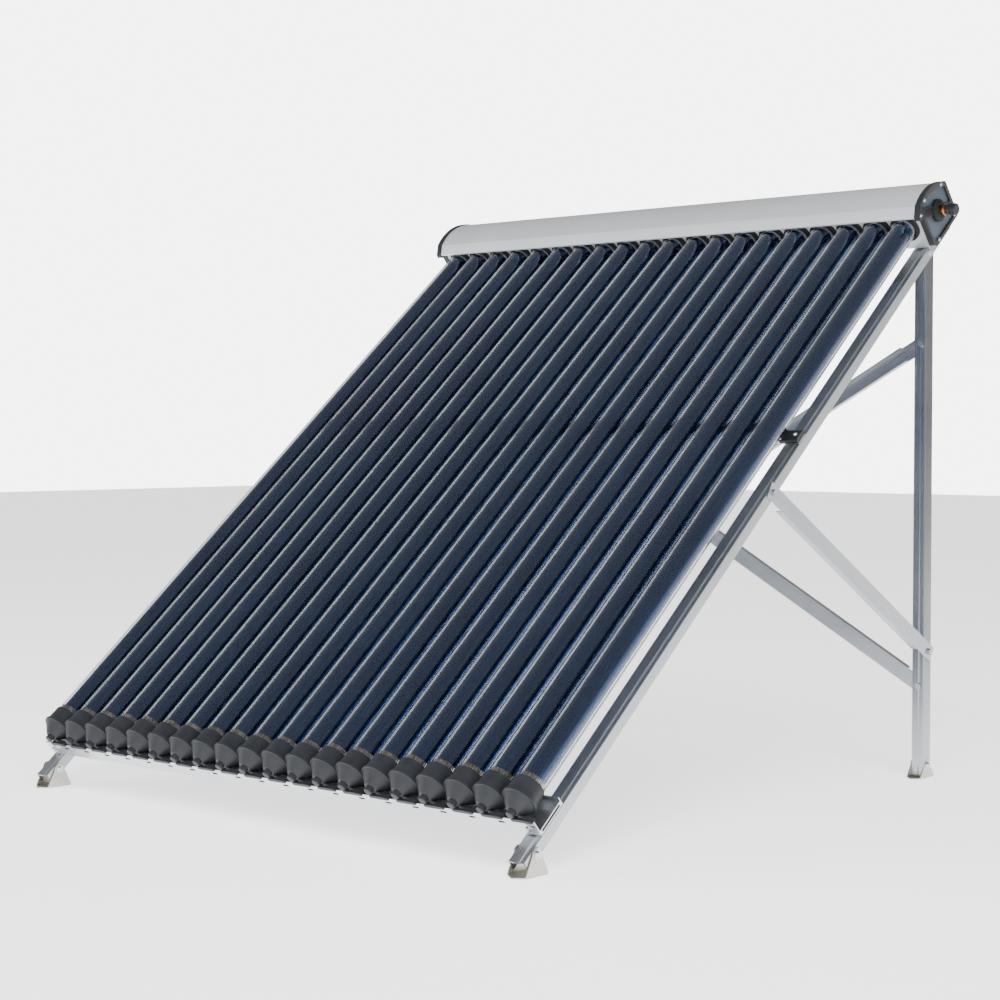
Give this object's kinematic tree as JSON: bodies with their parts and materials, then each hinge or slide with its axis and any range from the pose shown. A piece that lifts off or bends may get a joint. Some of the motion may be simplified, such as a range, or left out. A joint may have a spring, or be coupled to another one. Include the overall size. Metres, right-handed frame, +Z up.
{
  "type": "evacuated-tube solar water heater",
  "caption": "Tilted solar water heater: a row of heat-pipe glass tubes plugged into an insulated header, on an aluminium stand with hinged feet.",
  "frame": {"origin": "on the ground under the centre of the object's footprint", "axes": "+X to the right along the header, +Y to the rear, +Z up; the tubes face the front and slope up to the rear"},
  "size_m": [1.598, 1.5508, 1.389],
  "materials": {
    "glass_tube": "clear borosilicate glass over a dark blue selective absorber coating",
    "black_plastic": "moulded black plastic",
    "cover_sheet": "clear-anodised bent aluminium sheet",
    "frame_aluminium": "anodised extruded aluminium",
    "copper_pipe": "drawn copper",
    "zinc_steel": "zinc-plated pressed steel"
  },
  "bodies": {
    "collector_on_stand": {"evacuated_tube_01": "glass_tube", "evacuated_tube_02": "glass_tube", "evacuated_tube_03": "glass_tube", "evacuated_tube_04": "glass_tube", "evacuated_tube_05": "glass_tube", "evacuated_tube_06": "glass_tube", "evacuated_tube_07": "glass_tube", "evacuated_tube_08": "glass_tube", "evacuated_tube_09": "glass_tube", "evacuated_tube_10": "glass_tube", "evacuated_tube_11": "glass_tube", "evacuated_tube_12": "glass_tube", "evacuated_tube_13": "glass_tube", "evacuated_tube_14": "glass_tube", "evacuated_tube_15": "glass_tube", "evacuated_tube_16": "glass_tube", "evacuated_tube_17": "glass_tube", "evacuated_tube_18": "glass_tube", "evacuated_tube_19": "glass_tube", "evacuated_tube_20": "glass_tube", "tube_cup_01": "black_plastic", "tube_cup_02": "black_plastic", "tube_cup_03": "black_plastic", "tube_cup_04": "black_plastic", "tube_cup_05": "black_plastic", "tube_cup_06": "black_plastic", "tube_cup_07": "black_plastic", "tube_cup_08": "black_plastic", "tube_cup_09": "black_plastic", "tube_cup_10": "black_plastic", "tube_cup_11": "black_plastic", "tube_cup_12": "black_plastic", "tube_cup_13": "black_plastic", "tube_cup_14": "black_plastic", "tube_cup_15": "black_plastic", "tube_cup_16": "black_plastic", "tube_cup_17": "black_plastic", "tube_cup_18": "black_plastic", "tube_cup_19": "black_plastic", "tube_cup_20": "black_plastic", "header_cover": "cover_sheet", "header_base": "frame_aluminium", "end_cap_right": "black_plastic", "end_cap_left": "black_plastic", "header_pipe": "copper_pipe", "bottom_track": "frame_aluminium", "mid_rail": "frame_aluminium", "front_rail_right": "frame_aluminium", "front_rail_left": "frame_aluminium", "rear_leg_right": "frame_aluminium", "rear_leg_left": "frame_aluminium", "side_brace_right": "frame_aluminium", "side_brace_left": "frame_aluminium", "cross_brace_front": "frame_aluminium", "cross_brace_rear": "frame_aluminium"},
    "front_foot_right": {"front_foot_right": "zinc_steel"},
    "front_foot_left": {"front_foot_left": "zinc_steel"},
    "rear_foot_right": {"rear_foot_right": "zinc_steel"},
    "rear_foot_left": {"rear_foot_left": "zinc_steel"},
    "pipe_cap_right": {"pipe_cap_right": "black_plastic"}
  },
  "joints": [
    {"name": "front_foot_right_pivot", "type": "hinge", "parent": "collector_on_stand", "child": "front_foot_right", "pos_m": [0.71235, -0.72738, 0.041], "axis": [1, 0, 0], "range_deg": [-45, 45]},
    {"name": "front_foot_left_pivot", "type": "hinge", "parent": "collector_on_stand", "child": "front_foot_left", "pos_m": [-0.71465, -0.72738, 0.041], "axis": [1, 0, 0], "range_deg": [-45, 45]},
    {"name": "rear_foot_right_pivot", "type": "hinge", "parent": "collector_on_stand", "child": "rear_foot_right", "pos_m": [0.71455, 0.6836, 0.03], "axis": [1, 0, 0], "range_deg": [-45, 45]},
    {"name": "rear_foot_left_pivot", "type": "hinge", "parent": "collector_on_stand", "child": "rear_foot_left", "pos_m": [-0.71685, 0.6836, 0.03], "axis": [1, 0, 0], "range_deg": [-45, 45]},
    {"name": "pipe_cap_slide", "type": "slide", "parent": "collector_on_stand", "child": "pipe_cap_right", "axis": [1, 0, 0], "range_m": [0, 0.03]}
  ]
}
